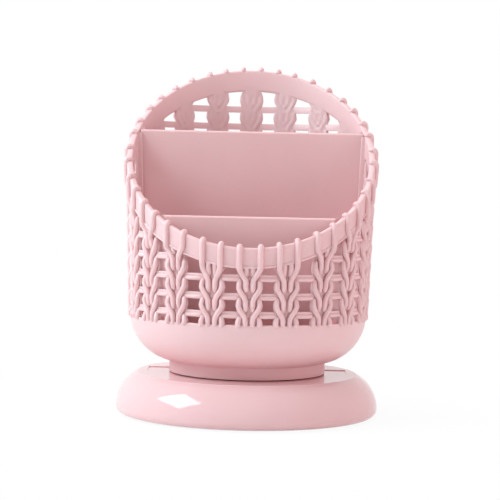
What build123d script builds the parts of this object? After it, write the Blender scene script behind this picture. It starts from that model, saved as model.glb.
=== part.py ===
from build123d import *
import os
from math import cos, floor, pi, radians, sin, sqrt

# Revolving pen holder with a moulded knit-pattern basket, three compartments and a disc base.
# Millimetres. Origin on the turning axis, on the table. +Z up, -Y is the low front of the rim.

# Disc base
base_radius = 55.0
base_height = 17.6
base_edge_width = 9.0
base_widest_height = 3.5
base_skirt_bottom = 0.6
base_foot_rim = 1.4
base_wall = 2.4
channel_length = 84.0
channel_width = 15.0
channel_depth = 0.3
channel_centre_y = 5.5

# Bottom cover, feet and cover screws
cover_thickness = 1.8
cover_recess = 0.8
cover_clearance = 0.3
foot_pad_count = 4
foot_pad_radius = 6.0
foot_pad_edge_distance = 12.5
foot_pad_turn = 7.0
cover_screw_count = 3
cover_screw_turn = 60.0
cover_screw_edge_distance = 21.0
cover_screw_radius = 1.25
cover_screw_clearance = 0.2
cover_screw_length = 7.0
cover_screw_head_radius = 2.6
cover_screw_head_height = 1.0
screw_post_radius = 3.4
thread_clearance = 0.05

# Turning joint between the base and the basket
hub_radius = 10.0
bush_outer_radius = 7.0
bush_flange_radius = 10.0
bush_flange_height = 0.7
bush_length = 10.0
bush_seat_clearance = 0.02
spigot_radius = 5.0
spigot_clearance = 0.06
washer_radius = 8.0
washer_thickness = 1.0
washer_play = 0.15
washer_hole_clearance = 0.15
pivot_screw_radius = 1.75
pivot_screw_length = 9.0
pivot_screw_head_radius = 3.6
pivot_screw_head_height = 1.8

# Basket: foot ring and smooth bowl
foot_ring_radius = 32.7
foot_ring_wall = 2.2
foot_ring_gap = 0.3
bowl_radius = 49.5
bowl_corner = 20.0
bowl_bottom = 22.6
bowl_edge_height = 41.8
bowl_wall = 2.3

# Basket: slanted rim band
wall_flare = 0.034
rim_front_height = 71.5
rim_back_height = 147.9
band_height_front = 7.2
band_height_back = 9.5
band_inner_depth = 0.2
band_outer_depth = 2.9

# Basket: knit columns and cross bars
column_count = 20
column_half_width = 5.4
column_inner_depth = 0.35
column_outer_depth = 1.9
column_foot = 0.6
column_top = 2.0
band_to_row = 0.1
bar_top = 1.0
first_bar_height = 45.5
row_pitch = 7.62
bar_height = 2.85
bar_inner_depth = 0.9
bar_outer_depth = 1.75
bar_tuck = 1.0
strand_outer_offset = 4.1
strand_inner_offset = 1.4
strand_root_depth = 1.8
strand_crest = 3.1
strand_end_crest = 1.85
strand_side_slope = 0.96
stitch_start = 1.4
stitch_bulge = 5.6
stitch_inner = 11.6
stitch_end = 15.2

# Basket: strands that climb over the band and hook on the rim
hook_root_depth = 1.2
hook_half_width = 1.2
hook_top_half_width = 0.8
hook_low_crest = 3.6
hook_crest = 4.1
hook_rise = 1.7
hook_nose = 0.1
hook_tip_root = 0.6
hook_tip_drop = 0.8
hook_crest_share = 0.5

# Lift-out dividers and their rails
divider_thickness = 2.0
rear_divider_y = 14.7
front_divider_y = -33.5
divider_top_drop = 0.4
divider_edge_gap = 0.35
divider_foot_relief = 2.6
divider_round_rest = 0.05
rail_clearance = 0.15
rail_thickness = 1.0
rail_depth = 1.8
rail_root_depth = 1.2
rail_bottom = 43.0
rail_top_drop = 0.6

# Sizes that follow from the values above
base_side_drop = base_height - base_widest_height
base_side_round = (base_edge_width**2 + base_side_drop**2) / (2 * base_edge_width)
base_lower_round = base_widest_height - base_skirt_bottom
base_foot_radius = base_radius - base_lower_round
base_opening_radius = base_foot_radius - base_foot_rim
foot_pad_circle = base_radius - foot_pad_edge_distance
cover_screw_circle = base_radius - cover_screw_edge_distance
bowl_centre_radius = bowl_radius - bowl_corner
bowl_centre_height = bowl_bottom + bowl_corner
floor_height = bowl_bottom + bowl_wall
cover_bottom = base_skirt_bottom + cover_recess
cover_top = cover_bottom + cover_thickness
boss_bottom = base_height + bush_flange_height
spigot_bottom = base_height - bush_length - washer_play
band_bottom_front = rim_front_height - band_height_front
band_bottom_back = rim_back_height - band_height_back
far = 400.0


def wall_inner_radius(z):
    """Radius of the basket's inner surface above the bowl, which flares with height."""
    return bowl_radius - bowl_wall + wall_flare * (z - bowl_centre_height)


rim_front_y = -(wall_inner_radius(rim_front_height) + strand_crest)
rim_back_y = wall_inner_radius(rim_back_height) + strand_crest


def slanted_height(y, front, back):
    """Height at y of a plane that rises from the front of the rim to its back."""
    return front + (back - front) * (y - rim_front_y) / (rim_back_y - rim_front_y)


def rim_height(y):
    return slanted_height(y, rim_front_height, rim_back_height)


def band_bottom(y):
    return slanted_height(y, band_bottom_front, band_bottom_back)


def half_space_below(front, back):
    """Large block whose slanted top is the plane from front height to back height."""
    low_y = -far / 2
    high_y = far / 2
    profile = Polyline(
        (low_y, -far),
        (high_y, -far),
        (high_y, slanted_height(high_y, front, back)),
        (low_y, slanted_height(low_y, front, back)),
        close=True,
    )
    return extrude(Plane.YZ * make_face(profile), far / 2, both=True)


def ring_about_axis(inner, outer, bottom, top):
    return Pos(0, 0, bottom) * extrude(Circle(outer) - Circle(inner), top - bottom)


def disc(radius, bottom, top):
    return Pos(0, 0, bottom) * extrude(Circle(radius), top - bottom)


def around(count, radius, first_angle=0.0):
    """Places on a circle, the angle counted from the front towards +X."""
    places = []
    for i in range(count):
        angle = radians(first_angle + 360 / count * i)
        places.append((radius * sin(angle), -radius * cos(angle)))
    return places


def cover_screw_places():
    return around(cover_screw_count, cover_screw_circle, cover_screw_turn)


def write(shape, name):
    export_step(shape, os.path.join("parts", name + ".step"))


# Disc base
def side_point(inset, height):
    """Point of the bulging side at a height, inset from it: an arc that is upright where it is widest."""
    radius = base_side_round - inset
    reach = sqrt(radius**2 - (height - base_widest_height) ** 2)
    return (base_radius - base_side_round + reach, height)


def make_dome():
    """Flat top, bulging side and a small round that turns in to the foot."""
    top = side_point(0, base_height)
    widest = side_point(0, base_widest_height)
    tuck = base_lower_round * (1 - cos(pi / 4))
    with BuildSketch(Plane.XZ) as section:
        with BuildLine():
            ThreePointArc(top, side_point(0, base_height - base_side_drop / 2), widest)
            ThreePointArc(
                widest,
                (base_radius - tuck, base_skirt_bottom + tuck),
                (base_foot_radius, base_skirt_bottom),
            )
            Polyline((base_foot_radius, base_skirt_bottom), (0, base_skirt_bottom), (0, base_height), top)
        make_face()
    return revolve(section.sketch, Axis.Z)


def make_cavity():
    """The hollow under the dome has an upright wall that is bevelled towards its roof."""
    roof = base_height - base_wall
    outline = Polyline(
        side_point(base_wall, roof),
        (base_opening_radius, base_height - base_side_drop / 2),
        (base_opening_radius, base_skirt_bottom),
        (0, base_skirt_bottom),
        (0, roof),
        close=True,
    )
    return revolve(Plane.XZ * make_face(outline), Axis.Z)


def make_base_shell():
    shell = make_dome() - make_cavity()
    hub_bottom = base_height - bush_length
    shell += disc(hub_radius, hub_bottom, base_height - base_wall / 2)
    for x, y in cover_screw_places():
        shell += Pos(x, y) * disc(screw_post_radius, cover_top, base_height - base_wall / 2)
        hole = disc(cover_screw_radius + thread_clearance, 0, cover_bottom + cover_screw_length)
        shell -= Pos(x, y) * hole
    shell -= disc(bush_outer_radius + bush_seat_clearance, 0, far)
    channel = Box(channel_length, channel_width, channel_depth * 2)
    shell -= Pos(0, channel_centre_y, base_height) * channel
    return shell


def make_bottom_cover():
    cover = disc(base_opening_radius - cover_clearance, cover_bottom, cover_top)
    for x, y in cover_screw_places():
        cover -= Pos(x, y) * disc(cover_screw_radius + cover_screw_clearance, 0, far)
    return cover


def make_foot_pads():
    pad = disc(foot_pad_radius, 0, cover_bottom)
    return [Pos(x, y) * pad for x, y in around(foot_pad_count, foot_pad_circle, foot_pad_turn)]


def make_cover_screws():
    head = disc(cover_screw_head_radius, cover_bottom - cover_screw_head_height, cover_bottom)
    screw = head + disc(cover_screw_radius, cover_bottom, cover_bottom + cover_screw_length)
    return [Pos(x, y) * screw for x, y in cover_screw_places()]


# Turning joint
def make_pivot_bush():
    bore = spigot_radius + spigot_clearance
    bush = ring_about_axis(bore, bush_outer_radius, base_height - bush_length, base_height)
    bush += ring_about_axis(bore, bush_flange_radius, base_height, boss_bottom)
    return bush


def make_pivot_washer():
    return ring_about_axis(
        pivot_screw_radius + washer_hole_clearance,
        washer_radius,
        spigot_bottom - washer_thickness,
        spigot_bottom,
    )


def make_pivot_screw():
    head_top = spigot_bottom - washer_thickness
    screw = disc(pivot_screw_head_radius, head_top - pivot_screw_head_height, head_top)
    screw += disc(pivot_screw_radius, head_top, head_top + pivot_screw_length)
    return screw


# Basket moulding
def bowl_section(outer, bottom, top):
    """Half section of the solid bowl: flat bottom, round corner, straight side."""
    corner = outer - bowl_centre_radius
    with BuildSketch(Plane.XZ) as section:
        with BuildLine():
            Line((0, bottom), (bowl_centre_radius, bottom))
            ThreePointArc(
                (bowl_centre_radius, bottom),
                (
                    bowl_centre_radius + corner * cos(pi / 4),
                    bowl_centre_height - corner * sin(pi / 4),
                ),
                (outer, bowl_centre_height),
            )
            Line((outer, bowl_centre_height), (outer + wall_flare * (top - bowl_centre_height), top))
            Line((outer + wall_flare * (top - bowl_centre_height), top), (0, top))
            Line((0, top), (0, bottom))
        make_face()
    return section.sketch


def make_bowl():
    outer = revolve(bowl_section(bowl_radius, bowl_bottom, bowl_centre_height + 1), Axis.Z)
    inner = revolve(bowl_section(bowl_radius - bowl_wall, floor_height, far), Axis.Z)
    bowl = outer + disc(foot_ring_radius, base_height + foot_ring_gap, bowl_bottom + 1)
    bowl -= disc(foot_ring_radius - foot_ring_wall, 0, bowl_bottom)
    bowl += disc(hub_radius, boss_bottom, bowl_bottom)
    bowl += disc(spigot_radius, spigot_bottom, bowl_bottom)
    bowl -= inner
    bowl -= disc(pivot_screw_radius + thread_clearance, 0, spigot_bottom + pivot_screw_length)
    bowl -= disc(far, bowl_edge_height, far)
    return Rot(0, 0, 180 / column_count) * bowl


def place(angle, offset, z, depth):
    """Point at an offset beside a column's middle line, at a depth from the inner surface."""
    radius = wall_inner_radius(z) + depth
    return Vector(
        radius * sin(angle) + offset * cos(angle),
        -radius * cos(angle) + offset * sin(angle),
        z,
    )


def flat_faces(quad):
    """One face where the four corners are in a plane, else two triangles."""
    normal = (quad[1] - quad[0]).cross(quad[2] - quad[0]).normalized()
    if abs(normal.dot(quad[3] - quad[0])) < 1e-5:
        return [Face(Wire.make_polygon(quad))]
    return [Face(Wire.make_polygon(quad[:3])), Face(Wire.make_polygon([quad[0], quad[2], quad[3]]))]


def join_sections(sections):
    """Closed solid with flat faces through a row of level sections, each a list of points."""
    faces = [Face(Wire.make_polygon(sections[0])), Face(Wire.make_polygon(sections[-1]))]
    count = len(sections[0])
    for low, high in zip(sections, sections[1:]):
        for i in range(count):
            j = (i + 1) % count
            faces += flat_faces([low[i], low[j], high[j], high[i]])
    return Solid(Shell(faces))


def block(angle, half_width, inner, outer, bottom, top):
    """Straight block that leans with the wall between two heights."""
    corners = ((-half_width, inner), (half_width, inner), (half_width, outer), (-half_width, outer))
    return join_sections([[place(angle, u, z, w) for u, w in corners] for z in (bottom, top)])


def band_prism(depth, bottom, top):
    """Many-sided cone whose corners lie behind the hooks."""
    sections = []
    for z in (bottom, top):
        radius = wall_inner_radius(z) + depth
        corners = around(2 * column_count, radius, 90 / column_count)
        sections.append([Vector(x, y, z) for x, y in corners])
    return join_sections(sections)


def make_band():
    low = band_bottom_front - 5
    high = rim_back_height + 5
    band = band_prism(band_outer_depth, low, high) - band_prism(band_inner_depth, low, high)
    band &= half_space_below(rim_front_height, rim_back_height)
    return band - half_space_below(band_bottom_front, band_bottom_back)


def band_bottom_at(angle):
    return band_bottom(place(angle, 0, rim_front_height, strand_crest).Y)


def rows_below_band(angle):
    return floor((band_bottom_at(angle) - band_to_row - first_bar_height) / row_pitch) + 1


def make_bars(gap):
    """Cross bars of one gap, straight from a column to the next one."""
    angle = 2 * pi * (gap + 0.5) / column_count
    below_band = half_space_below(band_bottom_front + bar_top, band_bottom_back + bar_top)
    bars = []
    for row in range(rows_below_band(angle) + 1):
        middle = first_bar_height + row_pitch * row
        edge = wall_inner_radius(middle) * sin(pi / column_count)
        half_length = edge - column_half_width * cos(pi / column_count) + bar_tuck
        bottom = middle - bar_height / 2
        top = middle + bar_height / 2
        bar = block(angle, half_length, bar_inner_depth, bar_outer_depth, bottom, top)
        if top > band_bottom_at(angle) - band_to_row:
            bar &= below_band
        if bar is not None:
            bars.append(bar)
    return bars


def ridge(angle, points):
    """Ridged strand through points of (offset, height, crest), rooted in the column."""
    sections = []
    for offset, z, crest in points:
        half = strand_side_slope * (crest - strand_root_depth)
        corners = (
            (offset - half, strand_root_depth),
            (offset + half, strand_root_depth),
            (offset, crest),
        )
        sections.append([place(angle, u, z, w) for u, w in corners])
    return join_sections(sections)


def stitch(side, top):
    """Points of one S-shaped half stitch that starts below the bar at height top."""
    outer = side * strand_outer_offset
    inner = side * strand_inner_offset
    return [
        (inner, top - stitch_end, strand_end_crest),
        (inner, top - stitch_inner, strand_crest),
        (outer, top - stitch_bulge, strand_crest),
        (outer, top - stitch_start, strand_end_crest),
    ]


def cut_at_foot(points):
    """The lowest stitches end on the bowl's edge, so their points below it move up to it."""
    if points[0][1] >= bowl_edge_height:
        return points
    above = [p for p in points if p[1] > bowl_edge_height + 0.2]
    last = points[len(points) - len(above) - 1]
    share = (bowl_edge_height - last[1]) / (above[0][1] - last[1])
    offset = last[0] + (above[0][0] - last[0]) * share
    crest = last[2] + (above[0][2] - last[2]) * share
    return [(offset, bowl_edge_height, crest)] + above


def hooked_strand(angle, side, top):
    """The last half stitch climbs straight over the band and hooks inwards on the rim."""
    outer = side * strand_outer_offset
    inner = side * strand_inner_offset
    y = place(angle, outer, top, strand_crest).Y
    rim = rim_height(y)
    root = hook_root_depth
    half = hook_half_width
    stations = [
        (inner, top - stitch_end, root, strand_end_crest, half),
        (inner, top - stitch_inner, root, strand_crest, half),
        (outer, top - stitch_bulge, root, hook_low_crest, half),
        (outer, rim + hook_rise / 2, -hook_nose, hook_crest, half),
        (outer, rim + hook_rise, hook_tip_root, hook_crest - hook_tip_drop, hook_top_half_width),
    ]
    sections = []
    for offset, z, depth, crest, half in stations:
        crest_half = half * hook_crest_share
        corners = (
            (offset - half, depth),
            (offset + half, depth),
            (offset + crest_half, crest),
            (offset - crest_half, crest),
        )
        sections.append([place(angle, u, z, w) for u, w in corners])
    return join_sections(sections)


def make_column(index):
    """One knit column: its backing strip and the two mirrored chains of half stitches."""
    angle = 2 * pi / column_count * index
    top = band_bottom_at(angle) + column_top
    foot = bowl_edge_height - column_foot
    strip = block(angle, column_half_width, column_inner_depth, column_outer_depth, foot, top)
    strands = []
    for side in (-1, 1):
        rows = rows_below_band(angle)
        for row in range(1, rows):
            points = stitch(side, first_bar_height + row_pitch * row)
            strands.append(ridge(angle, cut_at_foot(points)))
        strands.append(hooked_strand(angle, side, first_bar_height + row_pitch * rows))
    return strip.fuse(*strands)


def make_rails():
    """Pairs of ribs inside the wall that hold the divider's edges."""
    rails = []
    for divider_y in (rear_divider_y, front_divider_y):
        for shift in (-1, 1):
            y = divider_y + shift * (divider_thickness / 2 + rail_clearance + rail_thickness / 2)
            top = rim_height(y) - rail_top_drop
            low_x = sqrt(wall_inner_radius(rail_bottom) ** 2 - y * y)
            top_x = sqrt(wall_inner_radius(top) ** 2 - y * y)
            root = rail_root_depth * bowl_radius / low_x
            outline = Polyline(
                (low_x - rail_depth, rail_bottom),
                (low_x + root, rail_bottom),
                (top_x + root, top),
                (top_x - rail_depth, top),
                close=True,
            )
            rib = extrude(Plane.XZ * make_face(outline), rail_thickness / 2, both=True)
            rib = Pos(0, y, 0) * rib
            rails += [rib, mirror(rib, Plane.YZ)]
    return rails


def make_basket():
    """The left half of the wall mirrors the right half."""
    basket = make_bowl().fuse(make_band(), *make_rails())
    last = column_count // 2
    for index in range(last + 1):
        column = make_column(index)
        basket = basket.fuse(column)
        if 0 < index < last:
            basket = basket.fuse(mirror(column, Plane.YZ))
    for gap in range(last):
        bars = make_bars(gap)
        basket = basket.fuse(*bars, *[mirror(bar, Plane.YZ) for bar in bars])
    return basket


# Dividers
def make_divider(y):
    """Panel across the basket, clear of the wall, with a full round along its top."""
    top = rim_height(y) - divider_top_drop
    side = bowl_radius - bowl_wall - divider_edge_gap
    corner = side - bowl_centre_radius
    with BuildSketch(Plane.XZ) as section:
        with BuildLine():
            ThreePointArc(
                (bowl_centre_radius, bowl_centre_height - corner),
                (
                    bowl_centre_radius + corner * cos(pi / 4),
                    bowl_centre_height - corner * sin(pi / 4),
                ),
                (side, bowl_centre_height),
            )
            Polyline(
                (side, bowl_centre_height),
                (side + wall_flare * (top - bowl_centre_height), top),
                (0, top),
                (0, floor_height),
                (bowl_centre_radius - divider_foot_relief, floor_height),
                (bowl_centre_radius, bowl_centre_height - corner),
            )
        make_face()
    slab = Pos(0, y, top / 2) * Box(far, divider_thickness, top)
    panel = revolve(section.sketch, Axis.Z) & slab
    top_edges = panel.edges().group_by(Axis.Z)[-1].filter_by(Axis.X)
    return fillet(top_edges, divider_thickness / 2 - divider_round_rest)


os.makedirs("parts", exist_ok=True)
write(make_base_shell(), "base_shell")
write(make_bottom_cover(), "base_bottom_cover")
write(Compound(make_foot_pads()), "base_foot_pads")
write(Compound(make_cover_screws()), "base_cover_screws")
write(make_pivot_bush(), "pivot_bush")
write(make_pivot_washer(), "pivot_washer")
write(make_pivot_screw(), "pivot_screw")
write(make_divider(rear_divider_y), "rear_divider")
write(make_divider(front_divider_y), "front_divider")
write(make_basket(), "basket")
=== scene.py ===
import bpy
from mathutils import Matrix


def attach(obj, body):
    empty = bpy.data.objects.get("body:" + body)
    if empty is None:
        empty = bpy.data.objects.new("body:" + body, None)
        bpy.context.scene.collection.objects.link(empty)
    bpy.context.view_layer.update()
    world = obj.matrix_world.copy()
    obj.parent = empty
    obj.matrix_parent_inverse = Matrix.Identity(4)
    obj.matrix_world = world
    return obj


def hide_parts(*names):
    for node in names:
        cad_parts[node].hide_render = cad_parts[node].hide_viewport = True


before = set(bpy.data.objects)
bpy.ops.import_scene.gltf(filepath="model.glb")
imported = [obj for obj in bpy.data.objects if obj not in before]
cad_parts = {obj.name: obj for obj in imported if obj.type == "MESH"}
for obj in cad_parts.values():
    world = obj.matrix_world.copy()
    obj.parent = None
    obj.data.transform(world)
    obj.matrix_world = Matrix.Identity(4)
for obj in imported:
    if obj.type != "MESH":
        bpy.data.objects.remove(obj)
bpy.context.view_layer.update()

import math

import bmesh
import bpy
import numpy as np
from mathutils import Matrix, Vector

# Revolving pen holder. The tables and formulas of the basket are in millimetres, angles count from
# the low front of the rim towards +X, and depth is measured outwards from the basket's inner
# surface. Lamps, floor and camera are in metres.
MM = 0.001

# Bowl, foot ring, boss and spigot. A round is the radius of a rounding, and a root or a bevel
# is the size of a small slanted corner.
inner_radius_at_bowl = 47.2
bowl_centre_radius = 29.5
bowl_centre_height = 42.6
bowl_corner = 20.0
bowl_wall = 2.3
bowl_bottom = 22.6
bowl_floor_radii = (0.6, 14.0, 24.0)
bowl_edge_height = 41.8
bowl_edge_outer_centre = 49.0
bowl_edge_outer_round = 0.45
bowl_edge_inner_round = 0.4
bowl_segments = 192
foot_outer_radius = 32.7
foot_inner_radius = 30.5
foot_round = 0.4
foot_flare_out = 0.16
foot_flare_up = 0.22
foot_root = 0.3
boss_radius = 10.0
boss_bottom = 18.3
boss_root = 0.4
boss_bevel = 0.2
spigot_radius = 5.0
spigot_bottom = 7.45
spigot_root = 0.1
spigot_bevel = 0.3

# Basket wall. The crest is the depth of the rim's front and back ends.
wall_flare = 0.034
wall_crest = 3.1
wall_middle_depth = 2.0

# Rim band between two slants, each one level across the wall. The points of its section are
# (depth, height above the rim plane) and (depth, height above the band's lower plane).
rim_front_height = 71.5
rim_back_height = 147.9
band_front_height = 63.0
band_back_height = 138.7
band_segments = 360
band_section_at_rim = (
    (2.66, -1.5), (2.64, -0.75), (2.48, -0.28), (2.15, -0.03), (1.80, 0.0),
    (0.95, 0.0), (0.55, -0.10), (0.28, -0.36), (0.20, -0.8), (0.20, -1.5),
)
band_section_below = (
    (0.20, 1.0), (0.30, 0.25), (0.60, 0.0), (2.35, 0.0), (2.80, 0.10), (3.00, 0.38),
    (3.00, 0.74), (2.80, 0.98), (2.56, 1.10), (2.56, 1.45),
)

# Knit pattern. Column angles in degrees from the front to the back of one half. The whole
# pattern sits a little turned against the rim's slant.
column_angles = (0.0, 17.4, 36.0, 53.5, 71.0, 90.0, 108.0, 126.0, 144.5, 163.0, 180.0)
knit_turn = 0.4
first_bar_height = 45.9
row_pitch = 7.62
row_squeeze = 0.40
row_squeeze_reach = 4.0
row_over_band = 1.1

# Half stitches. Places along one are distances below the top of its row.
stitch_radius = 1.12
stitch_outer_offset = 4.3
stitch_inner_offset = 1.38
stitch_centre_depth = 2.02
stitch_start = 0.7
stitch_rise_length = 3.0
stitch_rise_depth = 0.95
stitch_tuck = 0.6
stitch_bend_start = 3.4
stitch_bend_length = 6.2
stitch_dip_start = 11.4
stitch_dip_length = 2.6
stitch_dip_depth = 0.75
stitch_end = 13.4
stitch_foot_height = 40.9
stitch_stations = (0.0, 0.035, 0.12, 0.27, 0.42, 0.55, 0.68, 0.82, 0.95, 1.0)
stitch_swell = (0.55, 0.86, 1.0, 1.0, 1.0, 1.0, 1.0, 1.0, 0.86, 0.55)
stitch_ring_angles = (-125, -83, -42, 0, 42, 83, 125)

# Straight prongs that come out from under the band between the hooks
prong_above_band = 1.2
prong_rise_length = 0.5
prong_end = 15.0
prong_latest_start = 11.4

# Hooks over the rim. The bend is part of an ellipse about a point inside the band, and its
# angles in degrees run from the tip to the outside.
hook_offsets = (4.15, 3.75, 4.1, 3.9, 3.8, 3.6, 3.6, 3.9, 4.35, 3.7, 4.0)
hook_radius = 1.2
hook_centre_depth = 2.92
hook_bend_angles = (150, 135, 115, 95, 75, 55, 35, 15)
hook_bend_depth = 1.52
hook_bend_below_rim = 1.35
hook_bend_reach = 1.4
hook_bend_rise = 1.9
hook_tip_radii = (0.55, 0.85, 0.98, 1.08)
hook_end_swell = (0.9, 0.55)
hook_stations = 22
hook_ring_angles = range(0, 360, 30)
hook_step_below_band = 2.4
hook_step_length = 2.3
hook_spread_end = 9.0
hook_spread_length = 4.0
hook_slim_start = 3.0
hook_slim_length = 5.0

# Backing strips of the columns, and the relief on their inner faces
back_half_width = 4.5
back_top_half_width = 5.0
back_swell = 0.72
back_swell_below_row = 4.0
back_swell_reach = 2.1
back_past_hook = 0.8
back_narrow_lead = 0.3
back_in_bowl = 0.7
back_in_band = 3.0
back_outer_depth = 1.15
back_inner_depth = 0.66
back_edge_depth = 0.74
back_flush_depth = 0.205
back_flush_below_band = 1.6
back_flush_length = 1.8
back_outer_stations = (-0.94, -0.6, 0.0, 0.6, 0.94)
back_inner_stations = 17
back_rows = 112
relief_height = 0.40
relief_height_at_edge = 0.32
relief_reach = 1.05
relief_fade = 1.5
relief_past_end = 0.6
bump_height = 0.70
bump_reach_across = 0.75
bump_reach_up = 0.65
bump_from_bar = 1.25

# Cross bars. The points of the section are (depth, height), and stations are shares of the way
# from one column's middle to the next.
bar_section = (
    (0.78, -1.38), (1.25, -1.50), (1.80, -1.38), (2.18, -1.00), (2.28, -0.53), (2.12, -0.08),
    (1.78, 0.28), (1.56, 0.42), (1.60, 0.54), (1.60, 1.04), (1.45, 1.26), (0.95, 1.30),
    (0.78, 1.12),
)
bar_stations = (-0.012, 0.035, 0.07, 0.11, 0.16, 0.22, 0.27, 0.33, 0.42)
bar_sag = 0.5
bar_sunk_share = 0.12
bar_rise_start = 0.20
bar_rise_length = 0.10
bar_bump = 0.62
bar_bump_length = 0.085
bar_below_band = 1.4

# Dividers and rails. The points of the rails' section are (distance from the wall, across).
rear_divider_y = 14.7
front_divider_y = -33.5
rear_rail_below_rim = 0.6
front_rail_below_rim = 3.4
rail_from_divider = 1.65
rail_foot_height = 43.0
rail_section = (
    (-1.2, -0.30), (-1.0, -0.5), (1.0, -0.5), (1.0, 0.5), (-1.0, 0.5), (-1.2, 0.30),
)
rail_stations = (0.0, 0.02, 0.5, 0.99, 1.0)
rail_end_bevel = 0.35

# Studio
floor_half_width = 3.0
floor_below_feet = 0.00002
floor_shade_reach = (0.055, 0.16)
floor_glow_share = (0.93, 1.0)
backdrop_side = (-0.55, 0.75, 0.35)
air_dim = 0.18
air_bright = 0.78
cool_daylight = (0.67, 0.96, 1.0)
plain_light = (1.0, 1.0, 1.0)
warm_bounce = (1.0, 0.94, 0.95)
holder_middle = (0.0, 0.0, 0.05)
base_front_left = (-0.027, -0.045, 0.011)

# Lamps: the direction in which they stand, distance, width, height, the way their width runs,
# radiance and tint
key_softbox = (
    (-0.676, -0.200, 0.575), 0.95, 0.56, 0.45, (0.07, 0.97, 0.17), 8.0, cool_daylight,
)
fill_panels = {
    "left_panel": ((-1.0, 0.30, 0.80), 1.1, 1.1, 0.7, (0.3, 1.0, 0.0), 1.8, cool_daylight),
    "front_left_panel": (
        (-0.62, -0.78, 0.38), 1.3, 0.9, 0.9, (0.78, -0.62, 0.0), 0.55, cool_daylight,
    ),
    "front_fill": ((0.1, -1.0, 0.06), 1.5, 1.2, 0.6, (1.0, 0.0, 0.0), 0.35, plain_light),
    "top_panel": ((0.0, 0.1, 1.0), 1.1, 0.7, 0.7, (1.0, 0.0, 0.0), 2.8, plain_light),
    "right_panel": ((0.87, -0.40, 0.22), 1.0, 0.9, 0.7, (0.4, 0.87, 0.0), 1.75, warm_bounce),
}

# Camera, with its focal length in pixels of a picture this wide and its angles in degrees
picture_width = 500.0
focal_length_in_pixels = 1708.0
sensor_width = 36.0
camera_place = (0.00025, -0.7174, 0.1039)
camera_tilt = 2.782
camera_roll = 1.2


def inner_radius(z):
    """The wall leans outwards: its inner radius grows in a straight line with height."""
    return inner_radius_at_bowl + wall_flare * (z - bowl_centre_height)


def on_wall(angle, offset, z, depth):
    """Point on the wall: radius is the inner radius at z plus depth, at angle, then moved by
    offset along the level tangent."""
    radius = inner_radius(z) + depth
    x = radius * np.sin(angle) + offset * np.cos(angle)
    y = -radius * np.cos(angle) + offset * np.sin(angle)
    return np.stack(np.broadcast_arrays(x, y, z), axis=-1)


def along_wall(angle):
    """Level unit vector along the wall."""
    return np.stack((np.cos(angle), np.sin(angle), 0 * angle), axis=-1)


rim_front_y = -(inner_radius(rim_front_height) + wall_crest)
rim_back_y = inner_radius(rim_back_height) + wall_crest


def slope(front, back):
    """Rise per millimetre towards the back of a plane with these heights at the rim's ends."""
    return (back - front) / (rim_back_y - rim_front_y)


def slant_height(angle, offset, front, back):
    """Height at which a slanted plane meets the middle of the leaning wall. The plane is
    z = front + m (y - y_front), the wall has y = -(r0 + flare z + depth) cos + offset sin,
    and the two are solved for z."""
    m = slope(front, back)
    reach = inner_radius(0.0) + wall_middle_depth
    top = front - m * rim_front_y - m * reach * np.cos(angle) + m * offset * np.sin(angle)
    return top / (1 + m * wall_flare * np.cos(angle))


def rim_height(angle, offset=0.0):
    return slant_height(angle, offset, rim_front_height, rim_back_height)


def band_height(angle, offset=0.0):
    return slant_height(angle, offset, band_front_height, band_back_height)


def squeeze(row):
    """The rows above the bowl lie a little closer: a row drops by c row exp(-(row / reach)^2)."""
    return row_squeeze * row * np.exp(-((row / row_squeeze_reach) ** 2))


def row_height(row):
    return first_bar_height + row_pitch * row - squeeze(row)


def fall_below_row(z):
    """Distance below the nearest row above z, as if all rows were evenly spaced."""
    row = (z - first_bar_height) / row_pitch
    return np.mod(first_bar_height - z - squeeze(np.maximum(row, 0.0)), row_pitch)


def all_columns():
    """Angles of the twenty columns in radians: the right half, then its mirror image."""
    half = list(column_angles)
    return np.radians(np.array(half + [360.0 - a for a in half[-2:0:-1]]) + knit_turn)


def rows_below_band(angle):
    """Number of full rows in a column, up to a little above the band's low edge."""
    reach = band_height(angle) + row_over_band - first_bar_height
    return int(math.floor(reach / row_pitch)) + 1


def ease(x):
    """Smooth step 3x^2 - 2x^3 from 0 to 1."""
    x = np.clip(x, 0.0, 1.0)
    return x * x * (3 - 2 * x)


# Meshes
def grid_faces(copies, rows, columns, wrap_rows=False):
    """Four-sided faces of closed rings of points: each ring has its columns joined round, and
    the rings follow each other, the last one joined to the first where wrap_rows is set."""
    row = np.arange(rows if wrap_rows else rows - 1)
    row, column = np.meshgrid(row, np.arange(columns), indexing="ij")
    row_next = (row + 1) % rows
    column_next = (column + 1) % columns
    corners = (
        row * columns + column,
        row * columns + column_next,
        row_next * columns + column_next,
        row_next * columns + column,
    )
    faces = np.stack(corners, axis=-1).reshape(1, -1, 4)
    return (faces + np.arange(copies)[:, None, None] * rows * columns).reshape(-1, 4)


def end_faces(copies, rows, columns):
    """Three-sided faces from a middle point at each end to the first and the last ring."""
    column = np.arange(columns)
    column_next = (column + 1) % columns
    faces = []
    for end, ring in ((0, 0), (1, rows - 1)):
        first = np.arange(copies)[:, None] * rows * columns + ring * columns
        pole = copies * rows * columns + np.arange(copies)[:, None] * 2 + end
        pole = np.broadcast_to(pole, (copies, columns))
        faces.append(np.stack((first + column, first + column_next, pole), -1).reshape(-1, 3))
    return np.concatenate(faces)


def add_piece(name, mesh, material, body, sharp):
    """A piece with this mesh, smooth except at edges sharper than the angle in degrees."""
    mesh.polygons.foreach_set("use_smooth", np.ones(len(mesh.polygons), dtype=bool))
    mesh.set_sharp_from_angle(angle=math.radians(sharp))
    mesh.materials.clear()
    mesh.materials.append(material)
    piece = bpy.data.objects.new(name, mesh)
    bpy.context.scene.collection.objects.link(piece)
    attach(piece, body)
    return piece


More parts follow.
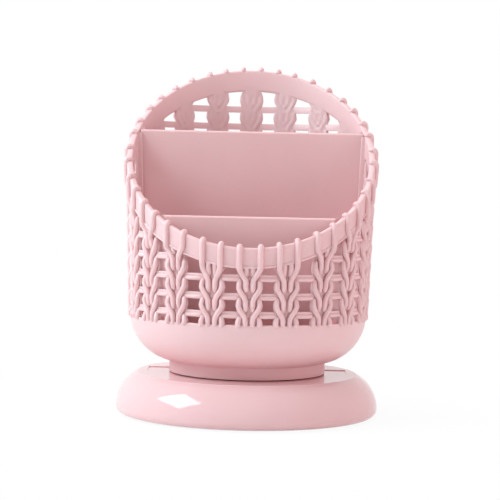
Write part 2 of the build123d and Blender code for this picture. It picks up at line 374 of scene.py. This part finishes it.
def add_basket_piece(name, rings, poles=None, sharp=50.0):
    """A piece of the basket from rings of points with shape (copies, rows, columns, 3). The ends
    close on poles with shape (copies, 2, 3), or else the rows are joined round. Its faces are
    turned outwards."""
    copies, rows, columns, _ = rings.shape
    faces = grid_faces(copies, rows, columns, poles is None).tolist()
    points = rings.reshape(-1, 3)
    if poles is not None:
        faces += end_faces(copies, rows, columns).tolist()
        points = np.concatenate((points, poles.reshape(-1, 3)))
    mesh = bpy.data.meshes.new(name)
    mesh.from_pydata((points * MM).tolist(), [], faces)
    shape = bmesh.new()
    shape.from_mesh(mesh)
    bmesh.ops.recalc_face_normals(shape, faces=shape.faces)
    shape.to_mesh(mesh)
    shape.free()
    return add_piece(name, mesh, basket_plastic, "basket", sharp)


def ring_middles(rings):
    """The middle point of the first and last ring of every copy."""
    return rings[:, (0, -1)].mean(axis=2)


def tube_rings(centres, level, radii, angles):
    """Rings round a path, and a pole beyond each end by a share of the radius there. The path
    runs along ahead, out is ahead x level, across is out x ahead, and a ring point is
    centre + radius (cos a * out + sin a * across)."""
    pole_share = 0.45
    ahead = np.gradient(centres, axis=1)
    ahead /= np.linalg.norm(ahead, axis=-1, keepdims=True)
    out = np.cross(ahead, level)
    out /= np.linalg.norm(out, axis=-1, keepdims=True)
    across = np.cross(out, ahead)
    a = np.radians(angles)[:, None]
    spokes = np.cos(a) * out[:, :, None] + np.sin(a) * across[:, :, None]
    rings = centres[:, :, None] + radii[..., None, None] * spokes
    reach = radii[:, (0, -1), None] * pole_share * np.array((-1.0, 1.0))[None, :, None]
    poles = ring_middles(rings) + ahead[:, (0, -1)] * reach
    return rings, poles


def arc(centre, radius, start, stop, count):
    """Points (r, z) on a circle between two angles in degrees, counted from +r towards +z."""
    a = np.radians(np.linspace(start, stop, count))
    return np.stack((centre[0] + radius * np.cos(a), centre[1] + radius * np.sin(a)), -1)


# Shader helpers
def make_group(name, inputs, outputs):
    """A shader node group with named inputs and outputs, and its two end nodes."""
    tree = bpy.data.node_groups.new(name, "ShaderNodeTree")
    for label, kind, value in inputs:
        socket = tree.interface.new_socket(label, in_out="INPUT", socket_type=kind)
        socket.default_value = value
    for label, kind in outputs:
        tree.interface.new_socket(label, in_out="OUTPUT", socket_type=kind)
    source = tree.nodes.new("NodeGroupInput")
    sink = tree.nodes.new("NodeGroupOutput")
    return tree, source, sink


def add_node(tree, kind, **values):
    """A node whose values are set on its inputs, or else on its own settings."""
    node = tree.nodes.new(kind)
    for key, value in values.items():
        if key in node.inputs:
            node.inputs[key].default_value = value
        else:
            setattr(node, key, value)
    return node


def noise(tree, place, scale, detail, stretch=None):
    """Noise at a place, with larger features along the axes whose stretch is below 1."""
    node = add_node(tree, "ShaderNodeTexNoise", Scale=scale, Detail=detail)
    if stretch is not None:
        mapping = add_node(tree, "ShaderNodeMapping", Scale=stretch)
        tree.links.new(place, mapping.inputs["Vector"])
        place = mapping.outputs["Vector"]
    tree.links.new(place, node.inputs["Vector"])
    return node.outputs["Fac"]


def map_range(tree, value, limits, results, **settings):
    """Maps a value between two limits onto two results, each a number or a socket."""
    node = add_node(tree, "ShaderNodeMapRange", **settings)
    for label, limit in zip(("From Min", "From Max", "To Min", "To Max"), (*limits, *results)):
        if isinstance(limit, float):
            node.inputs[label].default_value = limit
        else:
            tree.links.new(limit, node.inputs[label])
    tree.links.new(value, node.inputs["Value"])
    return node.outputs["Result"]


def spread(tree, value, low, high):
    """Maps a noise value's usual range 0.3 to 0.7 onto low to high."""
    return map_range(tree, value, (0.3, 0.7), (low, high))


def calculate(tree, operation, first, second):
    node = add_node(tree, "ShaderNodeMath", operation=operation)
    for socket, value in zip(node.inputs, (first, second)):
        if isinstance(value, float):
            socket.default_value = value
        else:
            tree.links.new(value, socket)
    return node.outputs["Value"]


def mix_shaders(tree, share, first, second):
    mix = add_node(tree, "ShaderNodeMixShader")
    tree.links.new(share, mix.inputs["Fac"])
    tree.links.new(first, mix.inputs[1])
    tree.links.new(second, mix.inputs[2])
    return mix.outputs["Shader"]


# Finishes
def moulded_finish_group():
    """Injection-moulded plastic: slow colour drift with the melt's flow up the wall, a fine
    eggshell grain from the mould, and roughness that follows scuffs up the wall."""
    inputs = (
        ("Colour", "NodeSocketColor", (0.8, 0.5, 0.5, 1.0)),
        ("Drift", "NodeSocketFloat", 0.02),
        ("Roughness", "NodeSocketFloat", 0.35),
        ("Unevenness", "NodeSocketFloat", 0.05),
        ("Grain", "NodeSocketFloat", 1.0),
    )
    outputs = (
        ("Colour", "NodeSocketColor"),
        ("Roughness", "NodeSocketFloat"),
        ("Height", "NodeSocketFloat"),
    )
    tree, source, sink = make_group("moulded_finish", inputs, outputs)
    place = add_node(tree, "ShaderNodeTexCoord").outputs["Object"]
    flow = noise(tree, place, scale=60.0, detail=3.0, stretch=(1.0, 1.0, 0.35))
    cloud = noise(tree, place, scale=18.0, detail=1.0)
    grain = noise(tree, place, scale=2600.0, detail=2.0)
    dimple = noise(tree, place, scale=700.0, detail=1.0)
    scuff = noise(tree, place, scale=240.0, detail=4.0, stretch=(1.0, 1.0, 0.15))
    half_flow = calculate(tree, "MULTIPLY", flow, 0.5)
    half_cloud = calculate(tree, "MULTIPLY", cloud, 0.5)
    mixed = calculate(tree, "ADD", half_flow, half_cloud)
    down = calculate(tree, "SUBTRACT", 1.0, source.outputs["Drift"])
    up = calculate(tree, "ADD", 1.0, source.outputs["Drift"])
    tint = add_node(tree, "ShaderNodeHueSaturation")
    tree.links.new(source.outputs["Colour"], tint.inputs["Color"])
    tree.links.new(spread(tree, mixed, down, up), tint.inputs["Value"])
    tree.links.new(spread(tree, cloud, 1.03, 0.97), tint.inputs["Saturation"])
    uneven = spread(tree, scuff, -1.0, 1.0)
    uneven = calculate(tree, "MULTIPLY", uneven, source.outputs["Unevenness"])
    rough = calculate(tree, "ADD", source.outputs["Roughness"], uneven)
    height = calculate(tree, "ADD", grain, calculate(tree, "MULTIPLY", dimple, 1.5))
    height = calculate(tree, "MULTIPLY", height, source.outputs["Grain"])
    tree.links.new(tint.outputs["Color"], sink.inputs["Colour"])
    tree.links.new(rough, sink.inputs["Roughness"])
    tree.links.new(height, sink.inputs["Height"])
    return tree


def new_material(name):
    material = bpy.data.materials.new(name)
    material.use_nodes = True
    tree = material.node_tree
    shader = tree.nodes["Principled BSDF"]
    return material, tree, shader


def set_constants(shader, values):
    for label, value in values.items():
        shader.inputs[label].default_value = value


def moulded_material(name, colour, drift, roughness, unevenness, grain, constants):
    """Plastic finish: the shared group drives colour, roughness and bump."""
    material, tree, shader = new_material(name)
    finish = tree.nodes.new("ShaderNodeGroup")
    finish.node_tree = moulded_finish
    set_constants(finish, {
        "Colour": (*colour, 1.0),
        "Drift": drift,
        "Roughness": roughness,
        "Unevenness": unevenness,
        "Grain": grain,
    })
    bump = add_node(tree, "ShaderNodeBump", Strength=0.35, Distance=0.00003)
    tree.links.new(finish.outputs["Colour"], shader.inputs["Base Color"])
    tree.links.new(finish.outputs["Roughness"], shader.inputs["Roughness"])
    tree.links.new(finish.outputs["Height"], bump.inputs["Height"])
    tree.links.new(bump.outputs["Normal"], shader.inputs["Normal"])
    set_constants(shader, constants)
    return material


def turned_steel_material():
    """Turned and zinc-plated steel: rings of tool marks about the axis, and cloudy plating."""
    material, tree, shader = new_material("turned_steel")
    place = add_node(tree, "ShaderNodeTexCoord").outputs["Object"]
    marks = noise(tree, place, scale=900.0, detail=2.0, stretch=(0.2, 0.2, 3.0))
    plating = noise(tree, place, scale=220.0, detail=3.0)
    colour = add_node(tree, "ShaderNodeValToRGB")
    dull, bright = colour.color_ramp.elements
    dull.position, dull.color = 0.35, (0.50, 0.49, 0.47, 1.0)
    bright.position, bright.color = 0.65, (0.66, 0.65, 0.63, 1.0)
    tree.links.new(plating, colour.inputs["Fac"])
    tree.links.new(colour.outputs["Color"], shader.inputs["Base Color"])
    tree.links.new(spread(tree, marks, 0.22, 0.38), shader.inputs["Roughness"])
    bump = add_node(tree, "ShaderNodeBump", Strength=0.3, Distance=0.00003)
    tree.links.new(marks, bump.inputs["Height"])
    tree.links.new(bump.outputs["Normal"], shader.inputs["Normal"])
    set_constants(shader, {"Metallic": 1.0})
    return material


moulded_finish = moulded_finish_group()
translucent_plastic = {
    "IOR": 1.49,
    "Subsurface Weight": 0.15,
    "Subsurface Radius": (1.0, 0.6, 0.6),
    "Subsurface Scale": 0.003,
}
basket_plastic = moulded_material(
    "basket_satin_plastic", colour=(0.81, 0.495, 0.505), drift=0.02,
    roughness=0.36, unevenness=0.05, grain=1.0, constants=translucent_plastic,
)
divider_plastic = moulded_material(
    "divider_satin_plastic", colour=(0.79, 0.47, 0.48), drift=0.025,
    roughness=0.40, unevenness=0.05, grain=1.2, constants=translucent_plastic,
)
base_plastic = moulded_material(
    "base_gloss_plastic", colour=(0.80, 0.462, 0.474), drift=0.012,
    roughness=0.035, unevenness=0.01, grain=0.08, constants={"IOR": 1.5},
)
cover_plastic = moulded_material(
    "cover_satin_plastic", colour=(0.78, 0.46, 0.47), drift=0.03,
    roughness=0.45, unevenness=0.06, grain=2.0, constants={"IOR": 1.49},
)
pad_rubber = moulded_material(
    "foot_pad_rubber", colour=(0.70, 0.42, 0.43), drift=0.05,
    roughness=0.72, unevenness=0.08, grain=4.0, constants={"IOR": 1.45},
)
bush_plastic = moulded_material(
    "bush_bearing_plastic", colour=(0.80, 0.77, 0.70), drift=0.02,
    roughness=0.30, unevenness=0.05, grain=0.8, constants={"IOR": 1.48},
)
turned_steel = turned_steel_material()


# Basket
def make_bowl():
    """Surface of revolution. Its profile (r, z) runs from the axis over the bowl's floor, up
    the inside, round the edge, down the outside, round the foot ring and back under the floor
    to the pivot spigot on the axis."""
    middle = (bowl_centre_radius, bowl_centre_height)
    floor_height = bowl_bottom + bowl_wall
    edge_inner_centre = (
        inner_radius_at_bowl + bowl_edge_inner_round, bowl_edge_height - bowl_edge_inner_round,
    )
    edge_outer_centre = (bowl_edge_outer_centre, bowl_edge_height - bowl_edge_outer_round)
    bowl_floor = [(radius, floor_height) for radius in bowl_floor_radii]
    foot_top = (
        (foot_outer_radius + foot_flare_out, bowl_bottom + foot_flare_up),
        (foot_outer_radius, bowl_bottom),
    )
    inside_foot = (
        (foot_inner_radius, bowl_bottom - foot_root),
        (foot_inner_radius - foot_root, bowl_bottom),
        (boss_radius + boss_root, bowl_bottom),
        (boss_radius, bowl_bottom - boss_root),
        (boss_radius, boss_bottom + boss_bevel),
        (boss_radius - boss_bevel, boss_bottom),
        (spigot_radius + spigot_root, boss_bottom),
        (spigot_radius, boss_bottom - spigot_root),
        (spigot_radius, spigot_bottom + spigot_bevel),
        (spigot_radius - spigot_bevel, spigot_bottom),
    )
    profile = np.concatenate((
        bowl_floor,
        arc(middle, bowl_corner - bowl_wall, -90, -4, 16),
        arc(edge_inner_centre, bowl_edge_inner_round, 180, 90, 4),
        arc(edge_outer_centre, bowl_edge_outer_round, 90, 5, 5),
        arc(middle, bowl_corner, -5, -79, 24),
        foot_top,
        arc((foot_outer_radius - foot_round, boss_bottom), foot_round, 0, -90, 4),
        arc((foot_inner_radius + foot_round, boss_bottom), foot_round, -90, -180, 3),
        inside_foot,
    ))
    turn = np.linspace(0, 2 * np.pi, bowl_segments, endpoint=False)
    r = profile[:, 0][:, None]
    z = np.broadcast_to(profile[:, 1][:, None], (len(profile), len(turn)))
    rings = np.stack((r * np.sin(turn), -r * np.cos(turn), z), axis=-1)[None]
    poles = np.array(((0, 0, floor_height), (0, 0, spigot_bottom)))[None]
    return add_basket_piece("basket_bowl", rings, poles, sharp=40.0)


def make_rim_band():
    """Closed section carried round the wall. Each section point has a depth and a distance
    from the rim plane or from the band's lower plane, so the band follows both slants."""
    turn = np.linspace(0, 2 * np.pi, band_segments, endpoint=False)
    columns = []
    for section, height in ((band_section_at_rim, rim_height), (band_section_below, band_height)):
        for depth, rise in section:
            columns.append(on_wall(turn, 0.0, height(turn) + rise, depth))
    rings = np.stack(columns, axis=1)[None]
    return add_basket_piece("basket_rim_band", rings)


def stitch_offset(t):
    """Sideways place of a half stitch at t below its top: out at first, then an S across to
    the column's middle, where it hangs straight down."""
    across = stitch_outer_offset - stitch_inner_offset
    return stitch_outer_offset - across * ease((t - stitch_bend_start) / stitch_bend_length)


def stitch_dip(t):
    """How deep a half stitch's lower end goes under the next one, at t below its top."""
    return stitch_dip_depth * ease((t - stitch_dip_start) / stitch_dip_length)


def make_stitches():
    """Half stitches: tubes whose centre runs down a smooth S, rises from under the stitch
    above, stands highest in the middle and dips under the next one at its rounded end. The
    prongs below the band are straight tubes of the same kind."""
    stitches = []
    for angle in all_columns():
        rows = rows_below_band(angle)
        for side in (-1, 1):
            for row in range(rows):
                top = row_height(row)
                stop = min(stitch_end, top - stitch_foot_height)
                run = (stitch_start, stop, stitch_rise_length, stitch_tuck, False)
                stitches.append((angle, side, top, *run))
            top = row_height(rows + 1)
            start = top - band_height(angle, side * stitch_inner_offset) - prong_above_band
            if start < prong_latest_start:
                run = (start, prong_end, prong_rise_length, 0.0, True)
                stitches.append((angle, side, top, *run))
    table = np.array(stitches, dtype=float).T
    angle, side, top, start, stop, rise, tuck, prong = (a[:, None] for a in table)
    t = start + (stop - start) * np.array(stitch_stations)
    emerge = 1 - ease((t - start) / rise)
    offset = np.where(prong == 1.0, stitch_inner_offset, stitch_offset(t) - tuck * emerge)
    depth = stitch_centre_depth - stitch_rise_depth * emerge - stitch_dip(t)
    centres = on_wall(angle, side * offset, top - t, depth)
    radii = np.broadcast_to(stitch_radius * np.array(stitch_swell), t.shape)
    rings, poles = tube_rings(centres, along_wall(angle), radii, stitch_ring_angles)
    return add_basket_piece("basket_knit_stitches", rings, poles, sharp=75.0)


def make_rim_hooks():
    """The top half stitch of each chain: a tube that steps out over the band, climbs straight
    up and bends inwards over the rim on part of an ellipse, thinner towards its tip."""
    chains = []
    hooks = hook_offsets + hook_offsets[-2:0:-1]
    for angle, hook in zip(all_columns(), hooks):
        top = row_height(rows_below_band(angle))
        chains += [(angle, side, top, hook) for side in (-1, 1)]
    angle, side, top, hook = (a[:, None] for a in np.array(chains).T)
    bend_middle = rim_height(angle, side * hook) - hook_bend_below_rim
    low = band_height(angle, side * hook)
    bend = np.radians(np.array(hook_bend_angles))
    bend_depth = hook_bend_depth + hook_bend_reach * np.cos(bend) + 0 * angle
    bend_height = bend_middle + hook_bend_rise * np.sin(bend)
    z = bend_middle + (top - stitch_end - bend_middle) * np.linspace(0.0, 1.0, hook_stations)
    t = top - z
    over = ease((z - low + hook_step_below_band) / hook_step_length)
    spread_share = ease((hook_spread_end - t) / hook_spread_length)
    offset = stitch_offset(t) + (hook - stitch_outer_offset) * spread_share
    depth = stitch_centre_depth - stitch_dip(t) + (hook_centre_depth - stitch_centre_depth) * over
    z = np.concatenate((bend_height, z), axis=1)
    depth = np.concatenate((bend_depth, depth), axis=1)
    offset = side * np.concatenate((hook + 0 * bend_depth, offset), axis=1)
    centres = on_wall(angle, offset, z, depth)
    radii = np.full(z.shape, hook_radius)
    radii[:, :len(hook_tip_radii)] = hook_tip_radii
    slim = ease((t - hook_slim_start) / hook_slim_length)
    radii[:, len(bend):] -= slim * (hook_radius - stitch_radius)
    radii[:, -len(hook_end_swell):] *= hook_end_swell
    rings, poles = tube_rings(centres, along_wall(angle), radii, hook_ring_angles)
    return add_basket_piece("basket_rim_hooks", rings, poles, sharp=75.0)


def knit_relief(u, z):
    """Soft relief that the stitches leave inside, as shares of its height: the nearest of the
    two half stitches that pass here, as a bell curve of the distance across, and two small
    bumps on the middle line, just above and below every bar."""
    fall = fall_below_row(z)
    relief = np.zeros(np.broadcast(u, z).shape)
    for t in (fall, fall + row_pitch):
        here = ease((t - stitch_start) / relief_fade)
        here = here * ease((stitch_end + relief_past_end - t) / relief_fade)
        bell = np.exp(-(((np.abs(u) - stitch_offset(t)) / relief_reach) ** 2))
        relief = np.maximum(relief, here * bell)
    to_bar = np.mod(fall + row_pitch / 2, row_pitch) - row_pitch / 2
    beside_bar = (np.abs(to_bar) - bump_from_bar) / bump_reach_up
    bump = np.exp(-((u / bump_reach_across) ** 2) - beside_bar**2)
    return relief, bump


def make_knit_backs():
    """Backing strip of each column. Its half width swells between the bars like the stitches
    in front of it and narrows above the last full stitch. Its inner face carries their soft
    relief and comes flush with the band at its top."""
    angle = all_columns()[:, None, None]
    rows = [rows_below_band(a) for a in all_columns()]
    last = np.array([row_height(row - 1) for row in rows])[:, None, None]
    hooked = np.array([row_height(row) for row in rows])[:, None, None]
    across = np.concatenate((back_outer_stations, np.linspace(1, -1, back_inner_stations)))
    outside = np.arange(len(across)) < len(back_outer_stations)
    foot = bowl_edge_height - back_in_bowl
    top = band_height(angle, across * back_top_half_width) + back_in_band
    z = foot + (top - foot) * np.linspace(0, 1, back_rows)[None, :, None]
    below_row = (fall_below_row(z) - back_swell_below_row) / back_swell_reach
    half = back_half_width + back_swell * np.exp(-(below_row**2))
    narrow = np.minimum(half, stitch_offset(hooked - z) + back_past_hook)
    half = half + (narrow - half) * ease(z - last + back_narrow_lead)
    u = across * half
    relief, bump = knit_relief(u, z)
    inner_depth = back_inner_depth - np.maximum(relief_height * relief, bump_height * bump)
    edge = np.abs(across) == 1.0
    inner_depth = np.where(edge, back_edge_depth - relief_height_at_edge * relief, inner_depth)
    flush = ease((z - band_height(angle, u) + back_flush_below_band) / back_flush_length)
    inner_depth = inner_depth + (back_flush_depth - inner_depth) * flush
    rings = on_wall(angle, u, z, np.where(outside, back_outer_depth, inner_depth))
    return add_basket_piece("basket_knit_backs", rings, ring_middles(rings))


def make_cross_bars():
    """Bars between the columns: a round rib below a thin ledge. The section (depth, height) is
    carried along the wall from just before one column's middle to just past the next. It sags
    by a parabola, sinks behind the stitches and rises to a small bump on each column's middle."""
    section = np.array(bar_section)
    bars = []
    columns = all_columns()
    for start, stop in zip(columns, np.append(columns[1:], 2 * math.pi)):
        row = 0
        while row_height(row) + bar_below_band < band_height((start + stop) / 2):
            bars.append((start, stop, row_height(row)))
            row += 1
    start, stop, middle = (a[:, None, None] for a in np.array(bars).T)
    stations = np.array(bar_stations)
    along = np.concatenate((stations, (0.5,), 1 - stations[::-1]))[None, :, None]
    to_column = np.minimum(along, 1 - along)
    proud = ease((to_column - bar_rise_start) / bar_rise_length)
    proud = proud + bar_bump * (1 - ease(to_column / bar_bump_length))
    turn = start + along * (stop - start)
    z = middle - bar_sag * along * (1 - along) + section[:, 1]
    back = section[:, 0].min()
    depth = back + (section[:, 0] - back) * (bar_sunk_share + (1 - bar_sunk_share) * proud)
    rings = on_wall(turn, 0.0, z, depth)
    return add_basket_piece("basket_cross_bars", rings, ring_middles(rings))


def make_divider_rails():
    """Pairs of ribs inside the wall beside the dividers' edges: a rectangle with bevelled
    inner corners, carried up the leaning wall and drawn in at both ends."""
    ribs = []
    dividers = ((rear_divider_y, rear_rail_below_rim), (front_divider_y, front_rail_below_rim))
    for divider_y, drop in dividers:
        for side in (-1, 1):
            for shift in (-rail_from_divider, rail_from_divider):
                ribs.append((side, divider_y + shift, drop))
    side, y, drop = (a[:, None, None] for a in np.array(ribs).T)
    section = np.array(rail_section)
    top = rim_front_height + slope(rim_front_height, rim_back_height) * (y - rim_front_y) - drop
    z = rail_foot_height + (top - rail_foot_height) * np.array(rail_stations)[None, :, None]
    pull = np.array((rail_end_bevel, 0.0, 0.0, 0.0, rail_end_bevel))[None, :, None]
    wall_x = np.sqrt(inner_radius(z) ** 2 - y**2)
    x = side * (wall_x + section[:, 0] + pull * (section[:, 0] < 0))
    rings = np.stack(np.broadcast_arrays(x, y + section[:, 1] * (1 - pull / 2), z), axis=-1)
    return add_basket_piece("basket_divider_rails", rings, ring_middles(rings), sharp=30.0)


for piece in (
    make_bowl(),
    make_rim_band(),
    make_stitches(),
    make_rim_hooks(),
    make_knit_backs(),
    make_cross_bars(),
    make_divider_rails(),
):
    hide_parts("basket")


# Base and small parts
def smooth_copy(node, name, material, body, sharp):
    """The CAD node's own shape with its loose triangles joined, so its round edge is smooth."""
    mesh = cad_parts[node].data.copy()
    mesh.name = name
    shape = bmesh.new()
    shape.from_mesh(mesh)
    bmesh.ops.remove_doubles(shape, verts=shape.verts, dist=1e-6)
    shape.to_mesh(mesh)
    shape.free()
    if "custom_normal" in mesh.attributes:
        mesh.attributes.remove(mesh.attributes["custom_normal"])
    piece = add_piece(name, mesh, material, body, sharp)
    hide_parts(node)


smooth_copy("base_shell", "base_dome", base_plastic, "base", sharp=22.0)

for node, material in (
    ("base_bottom_cover", cover_plastic),
    ("base_foot_pads", pad_rubber),
    ("base_cover_screws", turned_steel),
    ("pivot_bush", bush_plastic),
    ("pivot_washer", turned_steel),
    ("pivot_screw", turned_steel),
    ("rear_divider", divider_plastic),
    ("front_divider", divider_plastic),
):
    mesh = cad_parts[node].data
    mesh.materials.clear()
    mesh.materials.append(material)


# Studio
def seen_directly(tree):
    """1 for rays from the camera and in mirror and glass images, which show the white
    background, and 0 for rays that light the holder."""
    path = add_node(tree, "ShaderNodeLightPath").outputs
    image = calculate(tree, "MAXIMUM", path["Is Glossy Ray"], path["Is Transmission Ray"])
    return calculate(tree, "MAXIMUM", path["Is Camera Ray"], image)


def make_floor():
    """Pale floor that fades into the white background. Near the base it keeps a little of the
    paper's own shading, and with it a soft shadow."""
    mesh = bpy.data.meshes.new("studio_floor")
    corners = np.array(((-1, -1, 0), (1, -1, 0), (1, 1, 0), (-1, 1, 0))) * floor_half_width
    mesh.from_pydata((corners - (0, 0, floor_below_feet)).tolist(), [], [(0, 1, 2, 3)])
    material = bpy.data.materials.new("studio_floor_paper")
    material.use_nodes = True
    tree = material.node_tree
    tree.nodes.clear()
    paper = add_node(tree, "ShaderNodeBsdfDiffuse", Color=(0.86, 0.86, 0.86, 1.0)).outputs["BSDF"]
    white = add_node(tree, "ShaderNodeEmission", Color=(1.0, 1.0, 1.0, 1.0), Strength=1.0)
    place = add_node(tree, "ShaderNodeTexCoord").outputs["Object"]
    reach = add_node(tree, "ShaderNodeVectorMath", operation="LENGTH")
    tree.links.new(place, reach.inputs[0])
    share = map_range(
        tree, reach.outputs["Value"], floor_shade_reach, floor_glow_share,
        interpolation_type="SMOOTHSTEP",
    )
    glowing = mix_shaders(tree, share, paper, white.outputs["Emission"])
    surface = mix_shaders(tree, seen_directly(tree), paper, glowing)
    sink = add_node(tree, "ShaderNodeOutputMaterial")
    tree.links.new(surface, sink.inputs["Surface"])
    mesh.materials.append(material)
    floor = bpy.data.objects.new("studio_floor", mesh)
    bpy.context.scene.collection.objects.link(floor)


def make_world():
    """Soft light from all round, brighter from the white backdrop behind and to the left."""
    world = bpy.data.worlds.new("studio_air")
    bpy.context.scene.world = world
    world.use_nodes = True
    tree = world.node_tree
    tree.nodes.clear()
    way = add_node(tree, "ShaderNodeTexCoord").outputs["Generated"]
    facing = add_node(tree, "ShaderNodeVectorMath", operation="DOT_PRODUCT")
    tree.links.new(way, facing.inputs[0])
    facing.inputs[1].default_value = Vector(backdrop_side).normalized()
    level = map_range(
        tree, facing.outputs["Value"], (-1.0, 1.0), (air_dim, air_bright),
        interpolation_type="SMOOTHSTEP",
    )
    light = add_node(tree, "ShaderNodeBackground", Color=(1.0, 1.0, 1.0, 1.0))
    tree.links.new(level, light.inputs["Strength"])
    white = add_node(tree, "ShaderNodeBackground", Color=(1.0, 1.0, 1.0, 1.0), Strength=1.0)
    lit, seen = light.outputs["Background"], white.outputs["Background"]
    surface = mix_shaders(tree, seen_directly(tree), lit, seen)
    sink = add_node(tree, "ShaderNodeOutputWorld")
    tree.links.new(surface, sink.inputs["Surface"])


def make_softbox(name, direction, distance, width, height, along, radiance, tint, target):
    """Rectangular lamp that faces the target from a direction. Its power is the radiance
    times pi times its area, and its width follows the vector along."""
    data = bpy.data.lights.new(name, "AREA")
    data.color = tint
    data.shape = "RECTANGLE"
    data.size = width
    data.size_y = height
    data.energy = radiance * math.pi * width * height
    lamp = bpy.data.objects.new(name, data)
    bpy.context.scene.collection.objects.link(lamp)
    back = Vector(direction).normalized()
    side = Vector(along)
    side = (side - back * side.dot(back)).normalized()
    rise = back.cross(side)
    turn = Matrix((side, rise, back)).transposed().to_4x4()
    turn.translation = Vector(target) + back * distance
    lamp.matrix_world = turn
    return lamp


def make_lamps():
    """The key softbox is the one that shows as a highlight on the base. The panels fill in and
    don't show in the gloss."""
    make_softbox("key_softbox", *key_softbox, base_front_left)
    for name, panel in fill_panels.items():
        lamp = make_softbox(name, *panel, holder_middle)
        lamp.visible_glossy = False


def make_camera():
    """Long lens just above the rim's low front, looking slightly down, rolled a little."""
    data = bpy.data.cameras.new("photo_camera")
    data.sensor_width = sensor_width
    data.lens = sensor_width * focal_length_in_pixels / picture_width
    data.clip_start = 0.01
    data.clip_end = 20.0
    camera = bpy.data.objects.new("photo_camera", data)
    bpy.context.scene.collection.objects.link(camera)
    tilt = Matrix.Rotation(math.radians(90.0 - camera_tilt), 4, "X")
    roll = Matrix.Rotation(math.radians(camera_roll), 4, "Z")
    camera.matrix_world = Matrix.Translation(camera_place) @ tilt @ roll
    bpy.context.scene.camera = camera


make_floor()
make_world()
make_lamps()
make_camera()

bpy.context.scene.view_settings.view_transform = "Standard"

bpy.context.view_layer.update()
